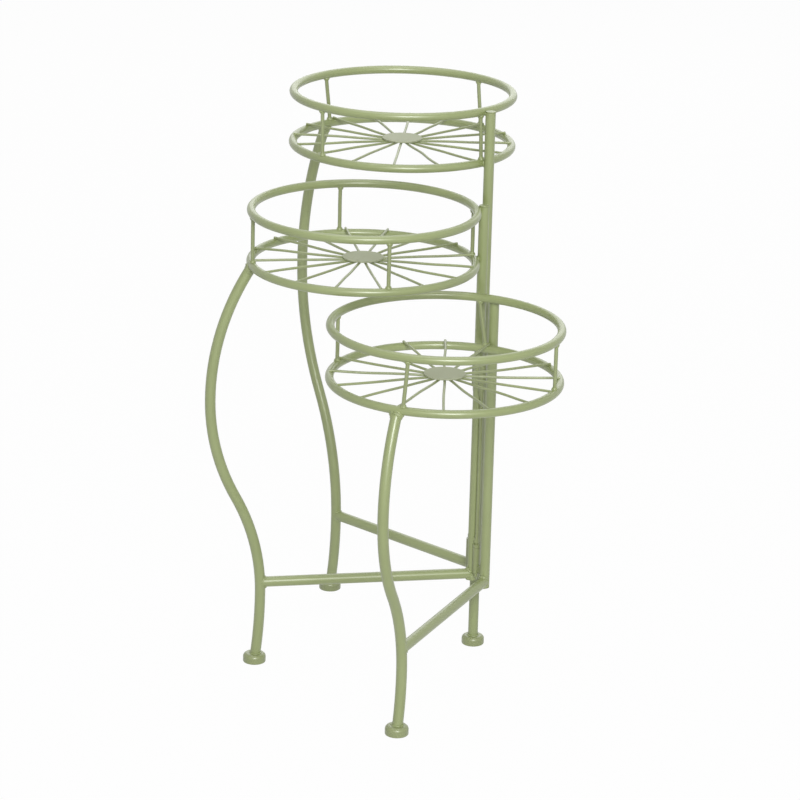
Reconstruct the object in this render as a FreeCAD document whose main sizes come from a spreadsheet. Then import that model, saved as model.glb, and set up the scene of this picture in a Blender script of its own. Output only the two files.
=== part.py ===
import FreeCAD, Part
import math
import os

import Sketcher

# A folding three-tier plant stand in painted steel. Three upright frames, tall, middle and low,
# fan out from one corner on two upright hinges. Each frame is a post, an S-bent leg, a brace
# between them and a shallow round basket of two rings, uprights, spokes and a hub disc.
# Millimetres, +Z up, origin on the floor under the tall post. The middle frame points along -X.

FRAMES = ("tall", "middle", "low")

SIZES = {
    # Stock
    "post_diameter": 12.7,
    "leg_diameter": 13.3,
    "brace_diameter": 13.2,
    "tube_wall": 1.2,
    "ring_rod_diameter": 10.5,
    "upright_diameter": 4.8,
    "spoke_diameter": 3.2,
    # Baskets
    "ring_radius": 138.9,
    "basket_height": 65.0,
    "hub_diameter": 50.8,
    "hub_thickness": 2.0,
    "hub_edge": 0.6,
    "spoke_start": 11.0,
    "spoke_sink": 0.4,
    "spoke_dip": 3.0,
    "spoke_angle": -3.5,
    "weld_gap": 0.1,
    # Post ends
    "cap_head": 1.6,
    "cap_spigot": 9.0,
    "cap_fit": 0.1,
    # Feet
    "foot_diameter": 29.0,
    "foot_height": 12.0,
    "foot_edge": 1.6,
    "foot_crown": 5.0,
    "foot_floor": 3.0,
    # Braces and legs
    "brace_height": 108.0,
    "leg_cope": 2.0,
    # Hinges
    "hinge_rod_diameter": 5.0,
    "hinge_rod_tail": 6.0,
    "hinge_rod_edge": 0.8,
    "hinge_clearance": 0.05,
    "hinge_standoff": 11.5,
    "hinge_link": 20.0,
    "knuckle_diameter": 9.5,
    "knuckle_length": 34.0,
    "lower_knuckle_rise": 5.2,
    "hinge_span": 248.0,
    "washer_diameter": 9.5,
    "washer_thickness": 2.2,
    "axial_clearance": 0.3,
    "lug_width": 5.0,
    "lug_height": 8.0,
    "lug_offset": 2.5,
    # How the frames stand in plan, in degrees
    "middle_bearing": 180.0,
    "rear_opening_angle": 54.5,
    "front_opening_angle": 55.6,
    "tall_hinge_angle": 109.6,
    "middle_rear_angle": -83.0,
    "middle_front_angle": 104.0,
    "low_hinge_angle": -123.5,
    # Each frame's own sizes: the post ends a little above or below the upper ring's centre line,
    # the leg's bulge stands out past the far side of the rings, its waist lies in from the bulge
    # and its foot stands out from the waist
    "tall_ring_height": 639.2,
    "tall_post_rise": 0.7,
    "tall_basket_angle": -1.5,
    "tall_bulge_out": 39.4,
    "tall_bulge_height": 444.5,
    "tall_waist_in": 73.0,
    "tall_waist_height": 105.0,
    "tall_foot_out": 9.0,
    "middle_ring_height": 525.4,
    "middle_post_rise": 2.4,
    "middle_basket_angle": 3.0,
    "middle_bulge_out": 49.8,
    "middle_bulge_height": 351.5,
    "middle_waist_in": 65.5,
    "middle_waist_height": 95.3,
    "middle_foot_out": 6.3,
    "low_ring_height": 420.1,
    "low_post_rise": -2.6,
    "low_basket_angle": 4.0,
    "low_bulge_out": 32.7,
    "low_bulge_height": 293.0,
    "low_waist_in": 66.3,
    "low_waist_height": 78.5,
    "low_foot_out": 10.0,
    # How far a cutting shape runs past what it cuts
    "overrun": 20.0,
}

SPOKE_COUNT = 16
UPRIGHT_COUNT = 4
FULL_TURN = 360.0
ALONG_X = "rotation(vector(0; 1; 0); 90)"
UNTURNED = "rotation(vector(0; 0; 1); 0)"

doc = FreeCAD.newDocument("plant_stand")
sheet = doc.addObject("Spreadsheet::Sheet", "Sizes")
for row, (alias, value) in enumerate(SIZES.items(), start=1):
    sheet.set(f"A{row}", alias)
    sheet.set(f"B{row}", str(value))
    sheet.setAlias(f"B{row}", alias)
doc.recompute()

nodes = []


# Expressions and placements

def size(alias):
    """Value of a cell, as a plain number."""
    return float(getattr(sheet, alias))


def cell(alias):
    """Cell named in an expression."""
    return f"Sizes.{alias}"


def half(alias):
    """Half of a cell, for a radius given by its diameter."""
    return f"({cell(alias)} / 2)"


def turned(angle):
    """Rotation about the upright axis, as an expression."""
    return f"rotation(vector(0; 0; 1); {angle})"


def at(along="0", across="0", height="0", rotation=UNTURNED):
    """Placement from three lengths and a rotation, as an expression."""
    return f"placement(vector({along}; {across}; {height}); {rotation})"


def station(name, placement):
    """Named place that pieces are set out from."""
    marker = doc.addObject("App::Placement", name)
    marker.setExpression("Placement", placement)
    doc.recompute()
    return f"{name}.Placement"


def keep(piece, label, placement):
    """Make a piece one of the stand's sub-parts, under its own label."""
    piece.Label = label
    piece.setExpression("Placement", placement)
    nodes.append(piece)
    return piece


# Basic shapes

def cylinder(name, radius, height, placement=at()):
    """Plain round bar."""
    bar = doc.addObject("Part::Cylinder", name)
    bar.setExpression("Radius", radius)
    bar.setExpression("Height", height)
    bar.setExpression("Placement", placement)
    return bar


def ring(name, placement):
    """Round bar bent to a full circle, flat in plan."""
    hoop = doc.addObject("Part::Torus", name)
    hoop.setExpression("Radius1", cell("ring_radius"))
    hoop.setExpression("Radius2", half("ring_rod_diameter"))
    hoop.setExpression("Placement", placement)
    return hoop


def group(name, pieces):
    """Several solids held as one."""
    together = doc.addObject("Part::Compound", name)
    together.Links = pieces
    return together


def cut(name, base, tool):
    """One shape with another taken out of it."""
    result = doc.addObject("Part::Cut", name)
    result.Base = base
    result.Tool = tool
    return result


def fuse(name, base, tool):
    """Two shapes as one."""
    result = doc.addObject("Part::Fuse", name)
    result.Base = base
    result.Tool = tool
    return result


def padded_circles(name, radii, height):
    """Body padded up from concentric circles on its base plane."""
    body = doc.addObject("PartDesign::Body", name)
    plane = next(item for item in body.Origin.OriginFeatures if item.Role == "XY_Plane")
    sketch = body.newObject("Sketcher::SketchObject", f"{name}_circles")
    sketch.AttachmentSupport = [(plane, "")]
    sketch.MapMode = "FlatFace"
    for index, radius in enumerate(radii):
        circle = Part.Circle(FreeCAD.Vector(), FreeCAD.Vector(0, 0, 1), 1 + index)
        geometry = sketch.addGeometry(circle)
        sketch.addConstraint(Sketcher.Constraint("Coincident", geometry, 3, -1, 1))
        constraint = sketch.addConstraint(Sketcher.Constraint("Radius", geometry, 1 + index))
        sketch.setExpression(f"Constraints[{constraint}]", radius)
    pad = body.newObject("PartDesign::Pad", f"{name}_pad")
    pad.Profile = sketch
    pad.setExpression("Length", height)
    doc.recompute()
    return body, pad


def tube(name, outer, inner, length):
    """Straight round tube, standing on its own origin."""
    body, _ = padded_circles(name, (outer, inner), length)
    return body


def puck(name, radius, height, edge, crown=None):
    """Round disc or bar with both rims rounded over, the upper one more where a crown is given."""
    body, feature = padded_circles(name, (radius,), height)
    for end, pick, roundness in (("lower_rim", min, edge), ("upper_rim", max, crown or edge)):
        rims = [(rim.CenterOfMass.z, f"Edge{number}")
                for number, rim in enumerate(feature.Shape.Edges, start=1)
                if isinstance(rim.Curve, Part.Circle)]
        fillet = body.newObject("PartDesign::Fillet", f"{name}_{end}")
        fillet.Base = (feature, [pick(rims)[1]])
        fillet.setExpression("Radius", roundness)
        doc.recompute()
        feature = fillet
    return body


# Where the frames and the hinge axes stand

def polar(length, angle):
    """Plan vector from a length and an angle, as an expression."""
    return f"vector({length} * cos({angle}); {length} * sin({angle}); 0)"


def set_out():
    """Place the three frames and the two hinge axes; return the place of each."""
    bearing = {
        "tall": f"({cell('middle_bearing')} - {cell('rear_opening_angle')})",
        "middle": cell("middle_bearing"),
        "low": f"({cell('middle_bearing')} + {cell('front_opening_angle')})",
    }
    link, standoff = cell("hinge_link"), cell("hinge_standoff")
    places = {"tall": station("tall_station", at(rotation=turned(bearing["tall"])))}

    def step(start, sign, length, angle):
        return f"{start}.Base {sign} {polar(length, angle)}"

    tall_turn = f"({bearing['tall']} + {cell('tall_hinge_angle')})"
    rear = step(places["tall"], "+", link, tall_turn)
    places["rear_axis"] = station("rear_axis", f"placement({rear}; {UNTURNED})")
    rear_turn = f"({bearing['middle']} + {cell('middle_rear_angle')})"
    middle = step(places["rear_axis"], "-", standoff, rear_turn)
    places["middle"] = station("middle_station", f"placement({middle}; {turned(bearing['middle'])})")
    front_turn = f"({bearing['middle']} + {cell('middle_front_angle')})"
    front = step(places["middle"], "+", standoff, front_turn)
    places["front_axis"] = station("front_axis", f"placement({front}; {UNTURNED})")
    low_turn = f"({bearing['low']} + {cell('low_hinge_angle')})"
    low = step(places["front_axis"], "-", link, low_turn)
    places["low"] = station("low_station", f"placement({low}; {turned(bearing['low'])})")
    return places


# Pieces of one frame, drawn with the post upright on the origin and the leg out along +X

BASKET_REACH = (f"({cell('ring_radius')} + {half('ring_rod_diameter')}"
                f" + {half('post_diameter')} + {cell('weld_gap')})")
LEG_TOP_REACH = f"({BASKET_REACH} + {cell('ring_radius')})"


def leg_top_reach():
    """Distance from the post to the far side of the rings, where the leg's top stands."""
    rods = size("ring_rod_diameter") / 2 + size("post_diameter") / 2
    return 2 * size("ring_radius") + rods + size("weld_gap")


def ring_heights(frame):
    """Centre heights of a frame's lower and upper rings, as expressions."""
    lower = cell(f"{frame}_ring_height")
    return lower, f"({lower} + {cell('basket_height')})"


def leg_reaches(frame):
    """Reaches of a leg's bulge, waist and foot from the post, as expressions."""
    bulge = f"({LEG_TOP_REACH} + {cell(f'{frame}_bulge_out')})"
    waist = f"({bulge} - {cell(f'{frame}_waist_in')})"
    return bulge, waist, f"({waist} + {cell(f'{frame}_foot_out')})"


def leg_points(frame):
    """Top, bulge, waist and foot of a leg's centre line: numbers, then the same as expressions."""
    ring_underside = size(f"{frame}_ring_height") - size("ring_rod_diameter") / 2
    top = leg_top_reach()
    bulge = top + size(f"{frame}_bulge_out")
    waist = bulge - size(f"{frame}_waist_in")
    foot = waist + size(f"{frame}_foot_out")
    numbers = ((top, ring_underside + size("leg_cope")), (bulge, size(f"{frame}_bulge_height")),
               (waist, size(f"{frame}_waist_height")), (foot, size("foot_floor")))
    top_height = (f"({cell(f'{frame}_ring_height')} - {half('ring_rod_diameter')}"
                  f" + {cell('leg_cope')})")
    bulge_name, waist_name, foot_name = leg_reaches(frame)
    names = ((LEG_TOP_REACH, top_height), (bulge_name, cell(f"{frame}_bulge_height")),
             (waist_name, cell(f"{frame}_waist_height")), (foot_name, cell("foot_floor")))
    return numbers, names


def end_arc(upright, tip):
    """Radius and turn of an arc that is upright at one point and ends at another."""
    across = abs(upright[0] - tip[0])
    along = abs(upright[1] - tip[1])
    return (across ** 2 + along ** 2) / (2 * across), 2 * math.atan2(across, along)


def leg_path(frame):
    """Centre line of a leg: four tangent arcs, upright at the bulge and at the waist."""
    (top, bulge, waist, foot), names = leg_points(frame)
    top_radius, top_turn = end_arc(bulge, top)
    foot_radius, foot_turn = end_arc(waist, foot)
    sway = 2 * math.atan2(bulge[0] - waist[0], bulge[1] - waist[1])
    sway_radius = (bulge[1] - waist[1]) / (2 * math.sin(sway))
    arcs = (
        (waist[0] + foot_radius, waist[1], foot_radius, math.pi, math.pi + foot_turn),
        (waist[0] + sway_radius, waist[1], sway_radius, math.pi - sway, math.pi),
        (bulge[0] - sway_radius, bulge[1], sway_radius, -sway, 0),
        (bulge[0] - top_radius, bulge[1], top_radius, 0, top_turn),
    )
    sketch = doc.addObject("Sketcher::SketchObject", f"{frame}_leg_path")
    sketch.setExpression("Placement", at(rotation="rotation(vector(1; 0; 0); 90)"))
    for centre_reach, centre_height, radius, start, end in arcs:
        circle = Part.Circle(FreeCAD.Vector(centre_reach, centre_height, 0),
                             FreeCAD.Vector(0, 0, 1), radius)
        sketch.addGeometry(Part.ArcOfCircle(circle, start, end))
    foot_arc, waist_arc, bulge_arc, top_arc = range(len(arcs))
    start, end, centre = 1, 2, 3
    for constraint in (
            ("Coincident", foot_arc, start, waist_arc, end),
            ("Tangent", waist_arc, start, bulge_arc, start),
            ("Coincident", bulge_arc, end, top_arc, start),
            ("Horizontal", foot_arc, centre, foot_arc, start),
            ("Horizontal", waist_arc, centre, waist_arc, end),
            ("Horizontal", bulge_arc, centre, bulge_arc, end),
            ("Horizontal", top_arc, centre, top_arc, start),
            ("Equal", waist_arc, bulge_arc)):
        sketch.addConstraint(Sketcher.Constraint(*constraint))
    ends = ((top_arc, end), (top_arc, start), (foot_arc, start), (foot_arc, end))
    for (arc, point), number, name in zip(ends, (top, bulge, waist, foot), names):
        for direction, value, text in zip(("DistanceX", "DistanceY"), number, name):
            constraint = sketch.addConstraint(
                Sketcher.Constraint(direction, -1, 1, arc, point, value))
            sketch.setExpression(f"Constraints[{constraint}]", text)
    doc.recompute()
    return sketch


def leg_solid(name, frame, path, radius):
    """Round bar swept along a leg's centre line, from its foot up."""
    reach = leg_reaches(frame)[2]
    flare = (f"-2 * atan({cell(f'{frame}_foot_out')}"
             f" / ({cell(f'{frame}_waist_height')} - {cell('foot_floor')}))")
    section = doc.addObject("Part::Circle", f"{name}_section")
    section.setExpression("Radius", radius)
    section.setExpression("Placement", at(reach, height=cell("foot_floor"),
                                          rotation=f"rotation(vector(0; 1; 0); {flare})"))
    bar = doc.addObject("Part::Sweep", name)
    bar.Sections = [section]
    bar.Spine = (path, [f"Edge{number}" for number in range(1, path.GeometryCount + 1)])
    bar.Solid = True
    return bar


def brace_end(frame):
    """Reach of a leg's centre line where the brace meets it, above the waist."""
    waist_height = cell(f"{frame}_waist_height")
    rise = f"({cell(f'{frame}_bulge_height')} - {waist_height})"
    radius = f"({rise} / (2 * sin(2 * atan({cell(f'{frame}_waist_in')} / {rise}))))"
    above = f"({cell('brace_height')} - {waist_height})"
    return f"({leg_reaches(frame)[1]} + {radius} - sqrt({radius} ^ 2 - {above} ^ 2))"


def build_post(frame, place):
    """Post tube with its caps; the tall one runs down into a foot on the floor."""
    top = f"({ring_heights(frame)[1]} + {cell(f'{frame}_post_rise')})"
    bottom = f"({cell('brace_height')} - {half('brace_diameter')})"
    if frame == "tall":
        bottom = cell("foot_floor")
    bore = f"({half('post_diameter')} - {cell('tube_wall')})"
    post = tube(f"{frame}_post", half("post_diameter"), bore, f"{top} - {bottom}")
    keep(post, f"{frame}_post", f"{place} * {at(height=bottom)}")
    keep(end_cap(f"{frame}_post_cap"), f"{frame}_post_cap", f"{place} * {at(height=top)}")
    if frame == "tall":
        foot = foot_puck("tall_post_foot_blank")
        shank = cylinder("tall_post_shank", half("post_diameter"), cell("foot_height"),
                         at(height=cell("foot_floor")))
        keep(cut("tall_post_foot", foot, shank), "tall_post_foot", place)
    else:
        turned_over = at(height=bottom, rotation="rotation(vector(1; 0; 0); 180)")
        label = f"{frame}_post_plug"
        keep(end_cap(label), label, f"{place} * {turned_over}")


def end_cap(name):
    """Flat cap with a spigot that goes down inside a post."""
    head = puck(f"{name}_head", half("post_diameter"), cell("cap_head"), f"{cell('cap_head')} / 3")
    spigot_radius = f"{half('post_diameter')} - {cell('tube_wall')} - {cell('cap_fit')}"
    spigot = cylinder(f"{name}_spigot", spigot_radius, f"{cell('cap_spigot')} + {half('cap_head')}",
                      at(height=f"-{cell('cap_spigot')}"))
    return fuse(f"{name}_solid", head, spigot)


def foot_puck(name):
    """Crowned foot before the tube that stands in it is taken out."""
    return puck(name, half("foot_diameter"), cell("foot_height"), cell("foot_edge"),
                cell("foot_crown"))


def build_leg(frame, place):
    """S-bent leg, its foot, and the brace back to the post."""
    path = leg_path(frame)
    outside = leg_solid(f"{frame}_leg_outside", frame, path, half("leg_diameter"))
    inside = leg_solid(f"{frame}_leg_inside", frame, path,
                       f"{half('leg_diameter')} - {cell('tube_wall')}")
    lower = ring_heights(frame)[0]
    saddle = ring(f"{frame}_leg_saddle", at(BASKET_REACH, height=lower))
    wall = cut(f"{frame}_leg_wall", outside, inside)
    keep(cut(f"{frame}_leg", wall, saddle), f"{frame}_leg", place)

    blank = foot_puck(f"{frame}_leg_foot_blank")
    blank.setExpression("Placement", at(leg_reaches(frame)[2]))
    keep(cut(f"{frame}_leg_foot", blank, outside), f"{frame}_leg_foot", place)

    from_post = at(height=cell("brace_height"), rotation=ALONG_X)
    reach = brace_end(frame)
    bar = cylinder(f"{frame}_brace_outside", half("brace_diameter"), reach, from_post)
    bore = cylinder(f"{frame}_brace_inside", f"{half('brace_diameter')} - {cell('tube_wall')}",
                    reach, from_post)
    post = cylinder(f"{frame}_brace_saddle", half("post_diameter"), f"2 * {cell('overrun')}",
                    at(height=f"{cell('brace_height')} - {cell('overrun')}"))
    hollow = cut(f"{frame}_brace_wall", bar, bore)
    coped = cut(f"{frame}_brace_coped", hollow, post)
    keep(cut(f"{frame}_brace", coped, outside), f"{frame}_brace", place)


def build_basket(frame, place):
    """Two rings, the uprights between them, the spokes on the lower one and the hub disc."""
    lower, upper = ring_heights(frame)
    keep(ring(f"{frame}_lower_ring", at()), f"{frame}_lower_ring",
         f"{place} * {at(BASKET_REACH, height=lower)}")
    keep(ring(f"{frame}_upper_ring", at()), f"{frame}_upper_ring",
         f"{place} * {at(BASKET_REACH, height=upper)}")

    turn = turned(cell(f"{frame}_basket_angle"))
    middle = f"{place} * {at(BASKET_REACH, rotation=turn)}"
    lower_seat = ring(f"{frame}_lower_seat", at(height=lower))
    upper_seat = ring(f"{frame}_upper_seat", at(height=upper))
    uprights = []
    for number in range(UPRIGHT_COUNT):
        angle = number * FULL_TURN / UPRIGHT_COUNT
        stand = f"{at(rotation=turned(angle))} * {at(cell('ring_radius'), height=lower)}"
        uprights.append(cylinder(f"{frame}_upright_{number + 1}", half("upright_diameter"),
                                 cell("basket_height"), stand))
    seats = group(f"{frame}_ring_seats", [lower_seat, upper_seat])
    keep(cut(f"{frame}_uprights", group(f"{frame}_upright_rods", uprights), seats),
         f"{frame}_uprights", middle)

    length = f"({cell('ring_radius')} - {cell('spoke_start')})"
    slope = f"atan({cell('spoke_dip')} / {length})"
    inner_end = (f"({lower} + {half('ring_rod_diameter')} + {half('spoke_diameter')}"
                 f" - {cell('spoke_sink')} - {cell('spoke_dip')})")
    outward = f"rotation(vector(0; 1; 0); atan2({length}; {cell('spoke_dip')}))"
    spokes = []
    for number in range(SPOKE_COUNT):
        angle = f"({cell('spoke_angle')} + {number * FULL_TURN / SPOKE_COUNT})"
        lie = at(cell("spoke_start"), height=inner_end, rotation=outward)
        spokes.append(cylinder(f"{frame}_spoke_{number + 1}", half("spoke_diameter"),
                               f"{length} / cos({slope})", f"{at(rotation=turned(angle))} * {lie}"))
    keep(cut(f"{frame}_spokes", group(f"{frame}_spoke_rods", spokes), lower_seat),
         f"{frame}_spokes", middle)

    hub = puck(f"{frame}_hub", half("hub_diameter"), cell("hub_thickness"), cell("hub_edge"))
    flat = f"({half('hub_diameter')} - {cell('hub_edge')} - {cell('spoke_start')})"
    seat = (f"{inner_end} + {flat} * {cell('spoke_dip')} / {length}"
            f" + {half('spoke_diameter')} / cos({slope})")
    keep(hub, f"{frame}_hub_disc", f"{middle} * {at(height=seat)}")


# Hinges: rods and washers on the middle frame, knuckles on the tall and low frames

LOWER_KNUCKLE = f"({cell('brace_height')} + {cell('lower_knuckle_rise')})"
UPPER_KNUCKLE = f"({LOWER_KNUCKLE} + {cell('hinge_span')})"
WASHER_STACK = f"(2 * {cell('washer_thickness')})"
ABOVE_LOWER = f"({LOWER_KNUCKLE} + {cell('knuckle_length')} + {cell('axial_clearance')})"
BELOW_UPPER = f"({UPPER_KNUCKLE} - {cell('axial_clearance')})"


def lugs(name, label, place, turn, reach, far_radius, heights):
    """Pair of small blocks that join a post to a bar or knuckle standing beside it."""
    blocks = []
    for number, height in enumerate(heights, start=1):
        block = doc.addObject("Part::Box", f"{name}_block_{number}")
        block.setExpression("Length", reach)
        block.setExpression("Width", cell("lug_width"))
        block.setExpression("Height", cell("lug_height"))
        block.setExpression("Placement", at(across=f"-{half('lug_width')}", height=height))
        blocks.append(block)
    tall_enough = f"{UPPER_KNUCKLE} + {cell('knuckle_length')} + {cell('overrun')}"
    post = cylinder(f"{name}_post_saddle", half("post_diameter"), tall_enough)
    bar = cylinder(f"{name}_bar_saddle", far_radius, tall_enough, at(reach))
    both = group(f"{name}_saddles", [post, bar])
    keep(cut(f"{name}_pair", group(f"{name}_blocks", blocks), both), label,
         f"{place} * {at(rotation=turned(turn))}")


def build_rod(side, axis, place, turn):
    """Hinge rod, its washers and the lugs that hold it off the middle post."""
    bottom = f"({LOWER_KNUCKLE} - {cell('hinge_rod_tail')})"
    top = f"({UPPER_KNUCKLE} + {cell('knuckle_length')} + {cell('hinge_rod_tail')})"
    rod = puck(f"{side}_rod", half("hinge_rod_diameter"), f"{top} - {bottom}",
               cell("hinge_rod_edge"))
    keep(rod, f"{side}_hinge_rod", f"{axis} * {at(height=bottom)}")

    rests = (ABOVE_LOWER, f"{ABOVE_LOWER} + {cell('washer_thickness')}",
             f"{BELOW_UPPER} - {cell('washer_thickness')}", f"{BELOW_UPPER} - {WASHER_STACK}")
    blanks = [cylinder(f"{side}_washer_{number}", half("washer_diameter"),
                       cell("washer_thickness"), at(height=rest))
              for number, rest in enumerate(rests, start=1)]
    bore = cylinder(f"{side}_washer_bore",
                    f"{half('hinge_rod_diameter')} + {cell('hinge_clearance')}", top)
    keep(cut(f"{side}_washers", group(f"{side}_washer_blanks", blanks), bore),
         f"{side}_hinge_washers", axis)

    heights = (f"{ABOVE_LOWER} + {WASHER_STACK}",
               f"{BELOW_UPPER} - {WASHER_STACK} - {cell('lug_height')}")
    lugs(f"{side}_rod_lug", f"{side}_rod_lugs", place, turn, cell("hinge_standoff"),
         half("hinge_rod_diameter"), heights)


def build_knuckles(frame, axis, place, turn):
    """Two knuckles that turn on a hinge rod, and the lugs that join them to the frame's post."""
    bore = f"{half('hinge_rod_diameter')} + {cell('hinge_clearance')}"
    for level, height in (("lower", LOWER_KNUCKLE), ("upper", UPPER_KNUCKLE)):
        label = f"{frame}_{level}_knuckle"
        knuckle = tube(label, half("knuckle_diameter"), bore, cell("knuckle_length"))
        keep(knuckle, label, f"{axis} * {at(height=height)}")
    heights = [f"{height} + {cell('lug_offset')}" for height in (LOWER_KNUCKLE, UPPER_KNUCKLE)]
    lugs(f"{frame}_knuckle_lug", f"{frame}_knuckle_lugs", place, turn, cell("hinge_link"),
         half("knuckle_diameter"), heights)


def write_parts():
    """Recompute, check every object and write each sub-part to its own file."""
    doc.recompute()
    for item in doc.Objects:
        if "Invalid" in item.State or "Error" in item.State:
            raise RuntimeError(f"{item.Name} failed: {item.State}")
    for piece in nodes:
        if piece.Shape.isNull() or not piece.Shape.isValid() or not piece.Shape.Solids:
            raise RuntimeError(f"{piece.Label} has no sound shape")
    os.makedirs("parts", exist_ok=True)
    for piece in nodes:
        piece.Shape.exportStep(f"parts/{piece.Label}.step")
        print(f"{piece.Label}: {len(piece.Shape.Solids)} solids, {piece.Shape.Volume:.1f} mm3")


places = set_out()
for frame in FRAMES:
    build_post(frame, places[frame])
    build_leg(frame, places[frame])
    build_basket(frame, places[frame])
build_rod("rear", places["rear_axis"], places["middle"], cell("middle_rear_angle"))
build_rod("front", places["front_axis"], places["middle"], cell("middle_front_angle"))
build_knuckles("tall", places["rear_axis"], places["tall"], cell("tall_hinge_angle"))
build_knuckles("low", places["front_axis"], places["low"], cell("low_hinge_angle"))
write_parts()
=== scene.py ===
"""Looks of a folding three-tier plant stand in sage green powder-coated steel.

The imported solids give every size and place. Hoops, spokes, uprights and weld beads are grown with
Geometry Nodes; tubes, feet, hub discs and hinge pieces keep their solids and get their paint here.
"""

import cmath
import logging
import math
import random
from dataclasses import dataclass, field
from enum import Enum
from typing import Any, Optional

import bpy
from mathutils import Matrix, Vector
from mathutils.bvhtree import BVHTree


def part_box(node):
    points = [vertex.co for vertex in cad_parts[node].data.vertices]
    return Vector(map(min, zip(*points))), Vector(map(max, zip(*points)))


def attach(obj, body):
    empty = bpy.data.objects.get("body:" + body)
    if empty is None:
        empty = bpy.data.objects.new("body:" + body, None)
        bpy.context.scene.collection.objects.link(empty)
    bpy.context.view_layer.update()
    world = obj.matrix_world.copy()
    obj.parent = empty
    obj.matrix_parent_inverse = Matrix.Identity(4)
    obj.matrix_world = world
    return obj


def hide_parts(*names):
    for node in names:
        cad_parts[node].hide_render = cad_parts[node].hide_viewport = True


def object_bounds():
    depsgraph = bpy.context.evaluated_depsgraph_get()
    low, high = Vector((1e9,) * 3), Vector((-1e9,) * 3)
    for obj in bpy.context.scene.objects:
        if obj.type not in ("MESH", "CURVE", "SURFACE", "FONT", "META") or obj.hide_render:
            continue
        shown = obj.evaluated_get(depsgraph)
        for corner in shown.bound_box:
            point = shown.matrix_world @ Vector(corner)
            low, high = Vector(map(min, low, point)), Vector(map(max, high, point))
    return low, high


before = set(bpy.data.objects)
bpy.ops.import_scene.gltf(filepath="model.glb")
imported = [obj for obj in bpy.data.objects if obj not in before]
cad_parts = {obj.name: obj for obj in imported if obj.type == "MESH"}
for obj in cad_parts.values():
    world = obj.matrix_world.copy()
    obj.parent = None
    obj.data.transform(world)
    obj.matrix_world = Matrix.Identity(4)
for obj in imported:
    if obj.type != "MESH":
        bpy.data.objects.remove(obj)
CAD_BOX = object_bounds()

LOG = logging.getLogger("plant_stand")
MM = 0.001
UP = Vector((0, 0, 1))
WHITE = (1.0, 1.0, 1.0, 1.0)
FAR = 0.1              # metres, clear of any tube
SHARP_ANGLE = 50.0     # degrees, edges bent more than this stay sharp
RIM_SHARE = 0.97       # wires end beyond this share of their reach
NOISE_MEAN = 0.5       # a noise goes from 0 to 1 about this
HOOP_STEPS, HOOP_SIDES = 240, 24
WIRE_STEPS, WIRE_SIDES = 18, 14
BEAD_SIDES = 10
MIX_FACTOR, MIX_A, MIX_B, MIX_COLOUR = 0, 6, 7, 2     # sockets of a Mix node for colours

Shade = tuple[float, float, float]
Pairs = tuple[tuple[float, float], ...]


# Nodes

class Wire:
    """A value in a node tree; sums on it add Math nodes."""

    def __init__(self, nodes: "Nodes", socket: bpy.types.NodeSocket) -> None:
        """Keep the tree and the socket that the value comes out of."""
        self.nodes = nodes
        self.socket = socket

    def math(self, operation: str, *terms: Any) -> "Wire":
        """Add a Math node.

        Args:
            operation: Blender's name of the operation.
            terms: its terms in order, each a number or a Wire.

        Returns:
            The result.
        """
        return self.nodes.node("ShaderNodeMath", {"operation": operation}, dict(enumerate(terms)))

    def __add__(self, other: Any) -> "Wire":
        """This plus another."""
        return self.math("ADD", self, other)

    def __sub__(self, other: Any) -> "Wire":
        """This less another."""
        return self.math("SUBTRACT", self, other)

    def __rsub__(self, other: Any) -> "Wire":
        """Another less this."""
        return self.math("SUBTRACT", other, self)

    def __mul__(self, other: Any) -> "Wire":
        """This times another."""
        return self.math("MULTIPLY", self, other)

    def __truediv__(self, other: Any) -> "Wire":
        """This over another."""
        return self.math("DIVIDE", self, other)

    def __rtruediv__(self, other: Any) -> "Wire":
        """Another over this."""
        return self.math("DIVIDE", other, self)

    def within(self, low: float, high: float) -> "Wire":
        """This, kept between two numbers."""
        return self.math("MINIMUM", self.math("MAXIMUM", self, low), high)

    __radd__ = __add__
    __rmul__ = __mul__


class Nodes:
    """A node tree under construction."""

    def __init__(self, tree: bpy.types.NodeTree) -> None:
        """Start from a tree of any kind."""
        self.tree = tree

    def node(self, kind: str, settings: Optional[dict] = None, sockets: Optional[dict] = None,
             output: Any = 0) -> Optional[Wire]:
        """Add one node.

        Args:
            kind: Blender's name of the node's type.
            settings: the node's own settings, which are set first.
            sockets: values or Wires for its inputs, by name or number.
            output: name or number of the output that is handed back.

        Returns:
            That output, or None for a node that has none.
        """
        made = self.tree.nodes.new(kind)
        for name, value in (settings or {}).items():
            setattr(made, name, value)
        for name, value in (sockets or {}).items():
            if isinstance(value, Wire):
                self.tree.links.new(value.socket, made.inputs[name])
            else:
                made.inputs[name].default_value = value
        return Wire(self, made.outputs[output]) if made.outputs else None


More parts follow.
